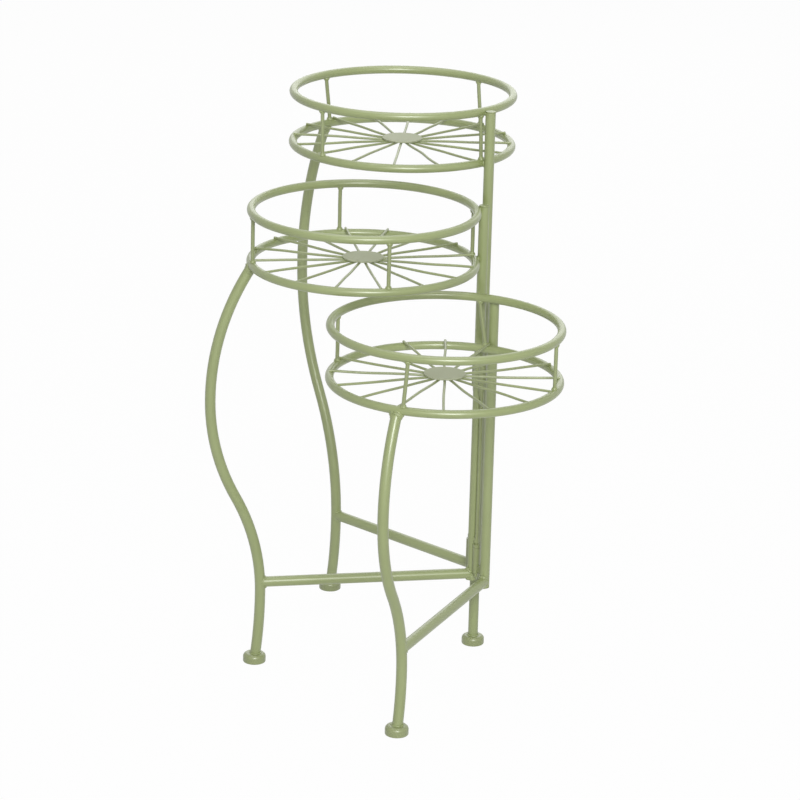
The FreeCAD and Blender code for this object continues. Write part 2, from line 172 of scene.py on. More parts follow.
class Recipe(Nodes):
    """A Geometry Nodes tree with named inputs for its sizes."""

    SOCKETS = {float: "NodeSocketFloat", int: "NodeSocketInt", Vector: "NodeSocketVector",
               bpy.types.Material: "NodeSocketMaterial"}

    def __init__(self, name: str, inputs: dict[str, type]) -> None:
        """Make the tree and its inputs.

        Args:
            name: what the tree makes.
            inputs: each input's name and kind of value.
        """
        super().__init__(bpy.data.node_groups.new(name, "GeometryNodeTree"))
        sides = self.tree.interface
        sides.new_socket("Geometry", in_out="INPUT", socket_type="NodeSocketGeometry")
        sides.new_socket("Geometry", in_out="OUTPUT", socket_type="NodeSocketGeometry")
        for label, kind in inputs.items():
            sides.new_socket(label, in_out="INPUT", socket_type=self.SOCKETS[kind])
        self.entry = self.tree.nodes.new("NodeGroupInput")
        self.exit = self.tree.nodes.new("NodeGroupOutput")

    def given(self, label: str) -> Wire:
        """An input, by its name."""
        return Wire(self, self.entry.outputs[label])

    def close(self, geometry: Wire) -> None:
        """Realize what was made, smooth it, paint it and send it out.

        Args:
            geometry: what the tree has made.
        """
        real = self.node("GeometryNodeRealizeInstances", None, {0: geometry})
        smooth = self.node("GeometryNodeSetShadeSmooth", None, {0: real})
        painted = self.node("GeometryNodeSetMaterial", None,
                            {"Geometry": smooth, "Material": self.given("Paint")})
        self.tree.links.new(painted.socket, self.exit.inputs[0])

    def grow(self, name: str, values: dict[str, Any],
             seed_mesh: Optional[bpy.types.Mesh] = None) -> bpy.types.Object:
        """Run the tree and keep the result as a plain mesh at the origin.

        Args:
            name: the new piece's name.
            values: each input's value, by its name.
            seed_mesh: mesh that the tree starts from, if it needs one.

        Returns:
            The new piece.
        """
        host = bpy.data.objects.new(f"{name}.host", seed_mesh or bpy.data.meshes.new(f"{name}.seed"))
        bpy.context.scene.collection.objects.link(host)
        modifier = host.modifiers.new("recipe", "NODES")
        modifier.node_group = self.tree
        for item in self.tree.interface.items_tree:
            if item.in_out == "INPUT" and item.name in values:
                modifier[item.identifier] = values[item.name]
        ready = host.evaluated_get(bpy.context.evaluated_depsgraph_get())
        mesh = bpy.data.meshes.new_from_object(ready)
        mesh.name = name
        mesh.set_sharp_from_angle(angle=math.radians(SHARP_ANGLE))
        bpy.data.objects.remove(host)
        piece = bpy.data.objects.new(name, mesh)
        bpy.context.scene.collection.objects.link(piece)
        return piece


# Finishes

def linear(shade: Shade) -> tuple[float, float, float, float]:
    """Shader colour of a shade, by the sRGB curve.

    Args:
        shade: red, green and blue in 0 to 255.

    Returns:
        The linear colour, with full alpha.
    """
    def channel(value: float) -> float:
        """One channel."""
        value /= 255
        return value / 12.92 if value <= 0.04045 else ((value + 0.055) / 1.055) ** 2.4
    return (*map(channel, shade), 1.0)


@dataclass(frozen=True)
class PowderCoat:
    """Sage green powder coat: an orange-peel skin that varies a little in tone and gloss.

    Lengths are in metres, colours in 0 to 255. Clouds and specks draw the shade towards the deep one,
    and scuffs wear the coat down to grey steel.
    """

    slot: str
    shade: Shade
    deep_shade: Shade
    roughness: float
    shine: float = 0.9
    coat: float = 0.22
    coat_roughness: float = 0.2
    gloss_spread: float = 0.08
    gloss_size: float = 0.018
    cloud_size: float = 0.09
    cloud_contrast: float = 1.6
    cloud_level: float = 0.45
    peel_size: float = 0.0022
    peel_height: float = 0.00003
    peel_strength: float = 0.6
    speck_size: float = 0.0007
    speck_level: float = 0.62
    speck_edge: float = 6.0
    speck_share: float = 0.10
    scuff_size: float = 0.0075
    scuff_edge: float = 9.0
    scuff_share: float = 0.0
    scuff_cover: float = 0.6
    scuff_metal: float = 0.5
    scuff_shade: Shade = (122, 124, 112)

    def material(self) -> bpy.types.Material:
        """Build the paint.

        Returns:
            The material, which reads Object coordinates only.
        """
        made = bpy.data.materials.new(self.slot)
        made.use_nodes = True
        made.node_tree.nodes.clear()
        paint = Nodes(made.node_tree)
        place = paint.node("ShaderNodeTexCoord", output="Object")

        def grain(size: float, detail: float) -> Wire:
            """Noise of one grain size."""
            return paint.node("ShaderNodeTexNoise", None,
                              {"Vector": place, "Scale": 1 / size, "Detail": detail})

        clouds = grain(self.cloud_size, detail=3.0) - NOISE_MEAN
        flecks = grain(self.speck_size, detail=2.0) - self.speck_level
        specks = (flecks * self.speck_edge).within(0, 1) * self.speck_share
        depth = (clouds * self.cloud_contrast + self.cloud_level + specks).within(0, 1)
        tone = paint.node("ShaderNodeMix", {"data_type": "RGBA"},
                          {MIX_FACTOR: depth, MIX_A: linear(self.shade),
                           MIX_B: linear(self.deep_shade)}, output=MIX_COLOUR)
        peel = grain(self.peel_size, detail=1.5)
        bump = paint.node("ShaderNodeBump", None,
                          {"Strength": self.peel_strength, "Distance": self.peel_height,
                           "Height": peel})
        patches = grain(self.gloss_size, detail=2.0) - NOISE_MEAN
        gloss = self.roughness + patches * self.gloss_spread
        sockets = {"Base Color": tone, "Roughness": gloss, "Normal": bump,
                   "Specular IOR Level": self.shine, "Coat Weight": self.coat,
                   "Coat Roughness": self.coat_roughness}
        if self.scuff_share:
            worn = grain(self.scuff_size, detail=4.0) - (1 - self.scuff_share)
            rubs = (worn * self.scuff_edge).within(0, 1)
            sockets["Base Color"] = paint.node(
                "ShaderNodeMix", {"data_type": "RGBA"},
                {MIX_FACTOR: rubs * self.scuff_cover, MIX_A: tone,
                 MIX_B: linear(self.scuff_shade)}, output=MIX_COLOUR)
            sockets["Metallic"] = rubs * self.scuff_metal
        surface = paint.node("ShaderNodeBsdfPrincipled", None, sockets)
        paint.node("ShaderNodeOutputMaterial", None, {"Surface": surface})
        return made


class Finish(Enum):
    """The stand's paints, one for each slot of the record."""

    TUBE = PowderCoat("tube_paint", (152, 163, 110), (140, 151, 97), 0.38)
    WIRE = PowderCoat("wire_paint", (150, 160, 112), (136, 145, 98), 0.42)
    HUB = PowderCoat("hub_paint", (185, 190, 162), (171, 177, 146), 0.60, shine=0.45, coat=0.0,
                     peel_size=0.003, speck_size=0.0013, speck_share=0.5)
    FOOT = PowderCoat("foot_paint", (147, 157, 107), (134, 143, 94), 0.40)
    CAP = PowderCoat("cap_paint", (149, 160, 107), (136, 145, 93), 0.40)
    HINGE = PowderCoat("hinge_paint", (146, 156, 106), (130, 138, 90), 0.42, scuff_share=0.32)

    def paint(self) -> bpy.types.Material:
        """The finish's material, built once."""
        found = bpy.data.materials.get(self.value.slot)
        return found if found and found.get("dressed") else self._build()

    def _build(self) -> bpy.types.Material:
        """Build the material under the slot's own name.

        Returns:
            The material, marked as this script's own.
        """
        old = bpy.data.materials.get(self.value.slot)
        if old:
            old.name = f"{self.value.slot}.cad"
        made = self.value.material()
        made["dressed"] = True
        return made

    def on_node(self, node: str) -> None:
        """Paint a CAD node.

        Args:
            node: the node's name.
        """
        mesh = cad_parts[node].data
        mesh.materials.clear()
        mesh.materials.append(self.paint())
        LOG.info("painted %s with %s", node, self.value.slot)

    def on_piece(self, piece: bpy.types.Object, body: str, *nodes: str) -> None:
        """Hand a painted piece to the frame.

        Args:
            piece: the finished piece.
            body: the CAD body that it moves with.
            nodes: the CAD nodes that it stands for.
        """
        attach(piece, body)
        if nodes:
            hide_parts(*nodes)
        LOG.info("built %s on %s, %d faces", piece.name, body, len(piece.data.polygons))


# Measures read from the frame

class Skin:
    """Surface of a CAD node, for finding where other pieces meet it."""

    def __init__(self, node: str) -> None:
        """Read the node's surface."""
        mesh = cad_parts[node].data
        self.tree = BVHTree.FromPolygons([vertex.co for vertex in mesh.vertices],
                                         [face.vertices for face in mesh.polygons])

    def hit(self, start: Vector, direction: Vector) -> Optional[Vector]:
        """First point of the surface along a line, if there is one."""
        return self.tree.ray_cast(start, direction)[0]

    def nearest(self, point: Vector) -> Vector:
        """Point of the surface that is nearest to another."""
        return self.tree.find_nearest(point)[0]

    def axis_at(self, outside: Vector, direction: Vector) -> Vector:
        """Middle of a tube that a level line goes through.

        Args:
            outside: where the line starts, clear of the tube.
            direction: the line's direction, towards the tube.

        Returns:
            The point half way between where the line goes in and where it leaves.
        """
        near = self.hit(outside, direction)
        far = self.hit(near + direction * FAR, -direction)
        return (near + far) / 2


def middle_of(node: str) -> Vector:
    """Centre of a CAD node's box."""
    low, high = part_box(node)
    return (low + high) / 2


def turn_of(node: str, centre: Vector, count: int) -> float:
    """Turn of equal wires round an upright axis.

    Args:
        node: the CAD node that holds the wires.
        centre: a point on the axis.
        count: how many wires there are.

    Returns:
        Angle of one of them, in radians.
    """
    spots = [vertex.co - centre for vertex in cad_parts[node].data.vertices]
    reach = max(spot.xy.length for spot in spots)
    outer = [complex(spot.x, spot.y) for spot in spots if spot.xy.length > RIM_SHARE * reach]
    return cmath.phase(sum((spot / abs(spot)) ** count for spot in outer)) / count


def across(axis: Vector) -> tuple[Vector, Vector]:
    """Two directions square to an axis and to each other."""
    side = axis.orthogonal().normalized()
    return side, axis.cross(side).normalized()


# Weld beads

@dataclass
class Welds:
    """Weld beads of one body, each along the line where two pieces meet.

    Each path is a line, the bead's radius at its points, and whether it is a closed loop.
    """

    body: str
    paths: list[tuple[list[Vector], list[float], bool]] = field(default_factory=list)
    steps: int = 40
    end_share: float = 0.35
    least_wrap: float = 0.01 * MM
    pitch: float = 0.7 * MM
    ripple: float = 0.75
    ripple_size: float = 4.2 * MM

    def add(self, points: list[Vector], radius: float) -> None:
        """Note one bead that runs out at its ends.

        Args:
            points: its line.
            radius: its thickness, as a radius.
        """
        ends = radius * self.end_share
        self.paths.append((points, [ends, *[radius] * (len(points) - 2), ends], False))

    def round_tube(self, start: Vector, axis: Vector, tube_radius: float, skin: Skin,
                   bead: float, edge: Optional[tuple[Skin, float]] = None, back: float = 0.0,
                   side_share: float = 1.0) -> None:
        """Note the bead round the end of a tube that runs onto another piece.

        Args:
            start: a point on the tube's axis, short of the piece.
            axis: the tube's direction.
            tube_radius: the tube's outside radius.
            skin: the surface that the tube runs onto.
            bead: the bead's radius.
            edge: the tube's own surface and the height it ends at where it passes beside the piece.
            back: how far short of the piece the bead lies, for a second run.
            side_share: what is left of the bead where a notched tube wraps furthest round the piece.
        """
        side, other = across(axis)
        points = []
        for step in range(self.steps):
            turn = math.tau * step / self.steps
            line = start + (side * math.cos(turn) + other * math.sin(turn)) * tube_radius
            met = skin.hit(line, axis)
            if edge and (met is None or met.z > edge[1]):
                met = edge[0].nearest(line + axis * ((edge[1] - line.z) / axis.z))
            if met is not None:
                points.append(met - axis * back)
        wraps = [(point - start).dot(axis) for point in points]
        least, most = min(wraps), max(wraps)
        span = max(most - least, self.least_wrap)
        radii = [bead * (1 - (1 - side_share) * (wrap - least) / span) for wrap in wraps]
        self.paths.append((points, radii, True))

    def build(self, recipe: Recipe) -> bpy.types.Object:
        """Grow all the beads of this body.

        Args:
            recipe: the tree that turns lines into beads.

        Returns:
            The beads as one piece.
        """
        corners, edges, radii = [], [], []
        for points, sizes, closed in self.paths:
            first, count = len(corners), len(points)
            corners.extend(points)
            radii.extend(sizes)
            edges.extend((first + k, first + k + 1) for k in range(count - 1))
            if closed:
                edges.append((first + count - 1, first))
        mesh = bpy.data.meshes.new(f"{self.body}.seams")
        mesh.from_pydata(corners, edges, [])
        mesh.attributes.new("bead", "FLOAT", "POINT").data.foreach_set("value", radii)
        values = {"Paint": Finish.TUBE.paint(), "Step": self.pitch, "Ripple": self.ripple,
                  "Ripple Size": self.ripple_size}
        return recipe.grow(f"{self.body}_welds", values, mesh)


def bead_recipe() -> Recipe:
    """Make the tree for rippled weld beads.

    Returns:
        The tree, which starts from lines with a bead radius at each point.
    """
    tree = Recipe("weld beads", {"Paint": bpy.types.Material, "Step": float, "Ripple": float,
                                 "Ripple Size": float})
    curve = tree.node("GeometryNodeMeshToCurve", None, {0: tree.given("Geometry")})
    fine = tree.node("GeometryNodeResampleCurve", {"mode": "LENGTH"},
                     {"Curve": curve, "Length": tree.given("Step")})
    place = tree.node("GeometryNodeInputPosition")
    ripples = tree.node("ShaderNodeTexNoise", None,
                        {"Vector": place, "Scale": 1 / tree.given("Ripple Size"), "Detail": 1.0})
    size = tree.node("GeometryNodeInputNamedAttribute", {"data_type": "FLOAT"}, {"Name": "bead"})
    scale = size * (1 + (ripples - NOISE_MEAN) * tree.given("Ripple") / NOISE_MEAN)
    profile = tree.node("GeometryNodeCurvePrimitiveCircle", None,
                        {"Resolution": BEAD_SIDES, "Radius": 1.0})
    tree.close(tree.node("GeometryNodeCurveToMesh", None,
                         {"Curve": fine, "Profile Curve": profile, "Scale": scale,
                          "Fill Caps": True}))
    return tree


# Baskets

def hoop_recipe() -> Recipe:
    """Make the tree for a round bar that is bent to a hoop.

    Returns:
        The tree, whose hoop has a ground-down butt weld where the bar's ends meet.
    """
    tree = Recipe("bar hoop", {"Paint": bpy.types.Material, "Hoop Radius": float,
                               "Bar Radius": float, "Seam Width": float, "Seam Height": float,
                               "Seam Turn": float, "Centre": Vector})
    line = tree.node("GeometryNodeCurvePrimitiveCircle", None,
                     {"Resolution": HOOP_STEPS, "Radius": tree.given("Hoop Radius")})
    along = tree.node("GeometryNodeSplineParameter", output="Length")
    girth = tree.given("Hoop Radius") * math.tau
    from_seam = along.math("MINIMUM", along, girth - along)
    swell = (1 - from_seam / tree.given("Seam Width")).within(0, 1) * tree.given("Seam Height")
    profile = tree.node("GeometryNodeCurvePrimitiveCircle", None,
                        {"Resolution": HOOP_SIDES, "Radius": tree.given("Bar Radius")})
    bar = tree.node("GeometryNodeCurveToMesh", None,
                    {"Curve": line, "Profile Curve": profile, "Scale": 1 + swell})
    turn = tree.node("FunctionNodeAxisAngleToRotation", None,
                     {"Axis": UP, "Angle": tree.given("Seam Turn")})
    tree.close(tree.node("GeometryNodeTransform", None,
                         {"Geometry": bar, "Translation": tree.given("Centre"),
                          "Rotation": turn}))
    return tree


def wires_recipe() -> Recipe:
    """Make the tree for straight wires that were set by hand.

    Returns:
        The tree, which sets a cut wire at each point's turn, lean and dip and lets it sway.
    """
    tree = Recipe("wires", {"Paint": bpy.types.Material, "Start": Vector, "End": Vector,
                            "Wire Radius": float, "Sway": float, "Sway Length": float,
                            "Seed": float, "Centre": Vector})
    line = tree.node("GeometryNodeCurvePrimitiveLine", None,
                     {"Start": tree.given("Start"), "End": tree.given("End")})
    lean, turn, dip = (tree.node("GeometryNodeInputNamedAttribute", {"data_type": "FLOAT"},
                                 {"Name": name}) for name in ("lean", "turn", "dip"))
    angles = tree.node("ShaderNodeCombineXYZ", None, {"X": lean, "Z": turn})
    rotation = tree.node("FunctionNodeEulerToRotation", None, {0: angles})
    lines = tree.node("GeometryNodeInstanceOnPoints", None,
                      {"Points": tree.given("Geometry"), "Instance": line, "Rotation": rotation})
    real = tree.node("GeometryNodeRealizeInstances", None, {0: lines})
    fine = tree.node("GeometryNodeResampleCurve", {"mode": "COUNT"},
                     {"Curve": real, "Count": WIRE_STEPS})
    share = tree.node("GeometryNodeSplineParameter", output="Factor")
    place = tree.node("GeometryNodeInputPosition")
    drift = tree.node("ShaderNodeTexNoise", {"noise_dimensions": "4D"},
                      {"Vector": place, "W": tree.given("Seed"), "Detail": 0.0,
                       "Scale": 1 / tree.given("Sway Length")}, output="Color")
    centred = tree.node("ShaderNodeVectorMath", {"operation": "SUBTRACT"},
                        {0: drift, 1: (NOISE_MEAN, NOISE_MEAN, NOISE_MEAN)})
    arch = share * (1 - share) * 4     # 0 at both ends, 1 in the middle
    sway = tree.node("ShaderNodeVectorMath", {"operation": "SCALE"},
                     {"Vector": centred, "Scale": tree.given("Sway") * arch / NOISE_MEAN})
    sunk = tree.node("ShaderNodeCombineXYZ", None, {"Z": 0 - dip * share})
    offset = tree.node("ShaderNodeVectorMath", {"operation": "ADD"}, {0: sway, 1: sunk})
    swayed = tree.node("GeometryNodeSetPosition", None, {"Geometry": fine, "Offset": offset})
    profile = tree.node("GeometryNodeCurvePrimitiveCircle", None,
                        {"Resolution": WIRE_SIDES, "Radius": tree.given("Wire Radius")})
    wires = tree.node("GeometryNodeCurveToMesh", None,
                      {"Curve": swayed, "Profile Curve": profile, "Fill Caps": True})
    tree.close(tree.node("GeometryNodeTransform", None,
                         {"Geometry": wires, "Translation": tree.given("Centre")}))
    return tree


def wire_points(name: str, turns: list[float], **others: list[float]) -> bpy.types.Mesh:
    """Points for the wires' tree.

    Args:
        name: the mesh's name.
        turns: each wire's angle round the axis, in radians.
        others: each wire's lean along the rings in radians, or dip of its outer end in metres.

    Returns:
        One loose point for each wire, with those values.
    """
    mesh = bpy.data.meshes.new(name)
    mesh.from_pydata([Vector()] * len(turns), [], [])
    for label, values in {"turn": turns, **others}.items():
        mesh.attributes.new(label, "FLOAT", "POINT").data.foreach_set("value", values)
    return mesh


@dataclass
class LegFrame:
    """One of the three frames: post, S-bent leg, brace and basket.

    Lengths are in metres and angles in degrees. Spokes dip most on the side of dip_bearing, where
    their ends have settled into the ring. A bead that is laid in runs has a pair for each run: its
    share of the bead's radius, and how many radii it lies back from the joint. The lump on a spoke's
    end has a pair for each of its points: a distance along the spoke in radii of the ring's bar, and
    a height. A probe is a pair of distances from a tube's end, at which its direction is read.
    """

    name: str
    leans: tuple[float, float, float, float] = (0.0, 0.0, 0.0, 0.0)
    seed: int = 1
    seam_turn: float = 20.0535
    seam_width: float = 4.0 * MM
    seam_swell: float = -0.03
    spoke_count: int = 16
    spoke_radius: float = 1.6 * MM
    spoke_start: float = 11.0 * MM
    spoke_stray: float = 0.5
    spoke_sway: float = 1.6 * MM
    spoke_sway_length: float = 60.0 * MM
    spoke_dip: float = 2.2 * MM
    dip_bearing: float = -102.0
    dip_spread: float = 0.4
    upright_radius: float = 2.4 * MM
    upright_sway: float = 0.5 * MM
    upright_sway_length: float = 40.0 * MM
    upright_sink: float = 0.5
    leg_top_probe: tuple[float, float] = (8.0 * MM, 24.0 * MM)
    foot_probe: tuple[float, float] = (4.0 * MM, 16.0 * MM)
    bead_brace: float = 2.6 * MM
    bead_brace_out: float = 1.7 * MM
    bead_wrap: float = 0.3
    bead_leg: float = 2.7 * MM
    bead_foot: float = 1.2 * MM
    bead_ring: float = 2.1 * MM
    bead_upright: float = 1.6 * MM
    bead_spoke: float = 1.1 * MM
    bead_lift: float = 0.3
    leg_runs: Pairs = ((1.0, 0.0), (0.65, 0.9), (0.5, 1.7))
    upright_runs: Pairs = ((1.0, 0.0), (0.75, 0.7), (0.5, 1.25))
    spoke_lump: Pairs = ((-0.9, -1.3 * MM), (-0.5, -1.1 * MM), (-0.2, -1.0 * MM), (0.0, -1.2 * MM))
    ring_bead_side: float = 0.5
    ring_bead_heights: tuple[float, ...] = (-0.8, -0.3, 0.2, 0.7)

    def __post_init__(self) -> None:
        """Read the frame's own sizes from its solids."""
        self.body = f"{self.name}_frame"
        self.post = middle_of(self.node("post"))
        low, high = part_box(self.node("lower_ring"))
        self.bar_radius = (high.z - low.z) / 2
        self.hoop_radius = (high.x - low.x) / 2 - self.bar_radius
        self.lower = middle_of(self.node("lower_ring"))
        self.upper = middle_of(self.node("upper_ring"))
        reach = self.lower - self.post
        self.out = Vector((reach.x, reach.y, 0)).normalized()
        self.aside = UP.cross(self.out)
        low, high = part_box(self.node("post"))
        self.post_radius = (high.x - low.x) / 2

    def node(self, piece: str) -> str:
        """Full name of one of the frame's nodes."""
        return f"{self.name}_{piece}"

    def build_hoops(self, recipe: Recipe) -> None:
        """Make the two rings.

        Args:
            recipe: the tree for a bent bar.
        """
        at_post = math.atan2(-self.out.y, -self.out.x)
        for level, centre, side in (("lower", self.lower, 1), ("upper", self.upper, -1)):
            hoop = recipe.grow(self.node(f"{level}_hoop"), {
                "Paint": Finish.TUBE.paint(), "Hoop Radius": self.hoop_radius,
                "Bar Radius": self.bar_radius, "Seam Width": self.seam_width,
                "Seam Height": self.seam_swell,
                "Seam Turn": at_post + side * math.radians(self.seam_turn), "Centre": centre})
            Finish.TUBE.on_piece(hoop, self.body, self.node(f"{level}_ring"))

    def build_spokes(self, recipe: Recipe, welds: Welds) -> None:
        """Make the spokes and note the lumps of weld on their ends.

        Args:
            recipe: the tree for wires.
            welds: the beads of the frame's body.
        """
        node = self.node("spokes")
        low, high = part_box(node)
        draw = random.Random(self.seed)
        first = turn_of(node, self.lower, self.spoke_count)
        turns = [first + math.tau * k / self.spoke_count
                 + math.radians(draw.uniform(-self.spoke_stray, self.spoke_stray))
                 for k in range(self.spoke_count)]
        near = math.radians(self.dip_bearing)
        settled = [min(max(math.cos(turn - near) + self.dip_spread, 0.0), 1.0) for turn in turns]
        inner = Vector((self.spoke_start, 0, low.z + self.spoke_radius))
        outer = Vector((self.hoop_radius, 0, high.z - self.spoke_radius))
        centre = Vector((self.lower.x, self.lower.y, 0))
        spokes = recipe.grow(self.node("spoke_wires"), {
            "Paint": Finish.WIRE.paint(), "Start": inner, "End": outer,
            "Wire Radius": self.spoke_radius, "Sway": self.spoke_sway,
            "Sway Length": self.spoke_sway_length, "Seed": float(self.seed), "Centre": centre},
            wire_points(node, turns, dip=[share * self.spoke_dip for share in settled]))
        Finish.WIRE.on_piece(spokes, self.body, node)
        for turn, share in zip(turns, settled):
            lay = Matrix.Rotation(turn, 3, UP)
            end = outer - UP * (share * self.spoke_dip)
            welds.add([centre + lay @ (end + Vector((step * self.bar_radius, 0, drop * (1 - share))))
                       for step, drop in self.spoke_lump], self.bead_spoke)

    def build_uprights(self, recipe: Recipe, welds: Welds) -> None:
        """Make the uprights and note the beads round both their ends.

        Args:
            recipe: the tree for wires.
            welds: the beads of the frame's body.
        """
        node = self.node("uprights")
        count = len(self.leans)
        bearing = math.atan2(self.out.y, self.out.x)
        first = turn_of(node, self.lower, count)
        first += round((bearing - first) / (math.tau / count)) * math.tau / count
        turns = [first + math.tau * k / count for k in range(count)]
        leans = [math.radians(lean) for lean in self.leans]
        centre = (self.lower + self.upper) / 2
        half = (self.upper.z - self.lower.z) / 2 - self.upright_sink * self.bar_radius
        uprights = recipe.grow(self.node("upright_rods"), {
            "Paint": Finish.WIRE.paint(), "Start": Vector((self.hoop_radius, 0, -half)),
            "End": Vector((self.hoop_radius, 0, half)), "Wire Radius": self.upright_radius,
            "Sway": self.upright_sway, "Sway Length": self.upright_sway_length,
            "Seed": float(self.seed), "Centre": centre}, wire_points(node, turns, lean=leans))
        Finish.WIRE.on_piece(uprights, self.body, node)
        rings = {1: Skin(self.node("upper_ring")), -1: Skin(self.node("lower_ring"))}
        for turn, lean in zip(turns, leans):
            lay = Matrix.Rotation(turn, 3, UP)
            along = lay @ Vector((0, -math.sin(lean), math.cos(lean)))
            middle = centre + lay @ Vector((self.hoop_radius, 0, 0))
            for end, ring in rings.items():
                for share, back in self.upright_runs:
                    welds.round_tube(middle, along * end, self.upright_radius, ring,
                                     self.bead_upright * share, back=self.bead_upright * back)

    def dress(self) -> None:
        """Paint the solids that stay."""
        for piece in ("post", "leg", "brace"):
            Finish.TUBE.on_node(self.node(piece))
        Finish.HUB.on_node(self.node("hub_disc"))
        Finish.FOOT.on_node(self.node("leg_foot"))
        Finish.CAP.on_node(self.node("post_cap"))
        if self.name == "tall":
            Finish.FOOT.on_node("tall_post_foot")
        else:
            Finish.CAP.on_node(self.node("post_plug"))

    def weld(self, welds: Welds) -> None:
        """Note the beads where the frame's pieces meet.

        Args:
            welds: the beads of the frame's body.
        """
        leg, post = Skin(self.node("leg")), Skin(self.node("post"))
        low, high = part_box(self.node("brace"))
        brace_radius = (high.z - low.z) / 2
        start = self.post + self.out * FAR
        start.z = (low.z + high.z) / 2
        welds.round_tube(start, self.out, brace_radius, leg, self.bead_brace_out,
                         side_share=self.bead_wrap)
        welds.round_tube(start, -self.out, brace_radius, post, self.bead_brace,
                         side_share=self.bead_wrap)
        self.weld_leg_top(welds, leg, brace_radius)
        self.weld_feet(welds, leg, brace_radius)
        for ring in (self.lower, self.upper):
            self.weld_ring_to_post(welds, ring)

    def leg_at(self, leg: Skin, height: float) -> Vector:
        """Leg's centre at a height.

        Args:
            leg: the leg's surface.
            height: the height above the floor.

        Returns:
            The point on the leg's axis.
        """
        outside = self.post + self.out * FAR
        outside.z = height
        return leg.axis_at(outside, self.out)

    def weld_feet(self, welds: Welds, leg: Skin, leg_radius: float) -> None:
        """Note the small beads round the tubes on the feet.

        Args:
            welds: the beads of the frame's body.
            leg: the leg's surface.
            leg_radius: the leg's outside radius.
        """
        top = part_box(self.node("leg_foot"))[1].z
        low_point, high_point = (self.leg_at(leg, top + rise) for rise in self.foot_probe)
        welds.round_tube(high_point, (low_point - high_point).normalized(),
                         leg_radius + self.bead_foot / 2, Skin(self.node("leg_foot")),
                         self.bead_foot)
        if self.name == "tall":
            above = Vector((self.post.x, self.post.y, high_point.z))
            welds.round_tube(above, -UP, self.post_radius + self.bead_foot / 2,
                             Skin("tall_post_foot"), self.bead_foot)

    def weld_leg_top(self, welds: Welds, leg: Skin, leg_radius: float) -> None:
        """Note the bead round the leg's top, under the lower ring.

        Args:
            welds: the beads of the frame's body.
            leg: the leg's surface.
            leg_radius: the leg's outside radius.
        """
        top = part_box(self.node("leg"))[1].z
        ring = Skin(self.node("lower_ring"))
        high_point, low_point = (self.leg_at(leg, top - drop) for drop in self.leg_top_probe)
        for share, back in self.leg_runs:
            welds.round_tube(low_point, (high_point - low_point).normalized(), leg_radius, ring,
                             self.bead_leg * share, (leg, top), self.bead_leg * back,
                             self.bead_wrap)

    def weld_ring_to_post(self, welds: Welds, ring: Vector) -> None:
        """Note the two short beads between a ring and the post.

        Args:
            welds: the beads of the frame's body.
            ring: the ring's centre.
        """
        offset = self.ring_bead_side * self.post_radius
        depth = math.sqrt(self.post_radius ** 2 - offset ** 2) + self.bead_lift * self.bead_ring
        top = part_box(self.node("post_cap"))[1].z - self.bead_ring
        heights = [min(ring.z + self.bar_radius * share, top) for share in self.ring_bead_heights]
        for side in (-1, 1):
            foot = self.post + self.out * depth + self.aside * (side * offset)
            welds.add([Vector((foot.x, foot.y, height)) for height in dict.fromkeys(heights)],
                      self.bead_ring)


@dataclass
class Hinge:
    """One of the two upright hinges between frames.

    Its rod stands on the middle frame, and its knuckles turn with the outer one.
    """

    side: str
    outer: str
    lug_width: float = 5.0 * MM
    lug_height: float = 8.0 * MM
    bead: float = 0.9 * MM
    bead_lift: float = 0.3
    bead_heights: tuple[float, ...] = (0.05, 0.3, 0.7, 0.95)

    def weld(self, welds: dict[str, Welds]) -> None:
        """Note the beads along the edges of the lugs.

        Args:
            welds: each frame's beads, by the frame's name.
        """
        axis = middle_of(f"{self.side}_hinge_rod")
        for owner, lugs, bar in (("middle", f"{self.side}_rod_lugs", f"{self.side}_hinge_rod"),
                                 (self.outer, f"{self.outer}_knuckle_lugs",
                                  f"{self.outer}_lower_knuckle")):
            post = middle_of(f"{owner}_post")
            ahead = Vector((axis.x - post.x, axis.y - post.y, 0)).normalized()
            low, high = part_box(lugs)
            for centre, direction, round_node in ((post, ahead, f"{owner}_post"),
                                                  (axis, -ahead, bar)):
                edge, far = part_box(round_node)
                radius, half = (far.x - edge.x) / 2, self.lug_width / 2
                reach = math.sqrt(max(radius ** 2 - half ** 2, 0)) + self.bead_lift * self.bead
                for bottom in (low.z, high.z - self.lug_height):
                    for side in (-half, half):
                        foot = centre + direction * reach + UP.cross(direction) * side
                        welds[owner].add([Vector((foot.x, foot.y, bottom + self.lug_height * share))
                                          for share in self.bead_heights], self.bead)

    def dress(self) -> None:
        """Paint the rod, washers, lugs and knuckles."""
        for piece in ("hinge_rod", "hinge_washers", "rod_lugs"):
            Finish.HINGE.on_node(f"{self.side}_{piece}")
        for piece in ("lower_knuckle", "upper_knuckle", "knuckle_lugs"):
            Finish.HINGE.on_node(f"{self.outer}_{piece}")


# Studio

@dataclass(frozen=True)
class Lamp:
    """A soft round lamp: place and size in metres, power in watts."""

    name: str
    place: tuple[float, float, float]
    size: float
    power: float

    def hang(self, aim: Vector) -> None:
        """Hang the lamp.

        Args:
            aim: the point that it shines at.
        """
        data = bpy.data.lights.new(self.name, "AREA")
        data.shape = "DISK"
        data.size = self.size
        data.energy = self.power
        lamp = bpy.data.objects.new(self.name, data)
        lamp.location = self.place
        lamp.rotation_euler = (aim - Vector(self.place)).to_track_quat("-Z", "Y").to_euler()
        bpy.context.scene.collection.objects.link(lamp)


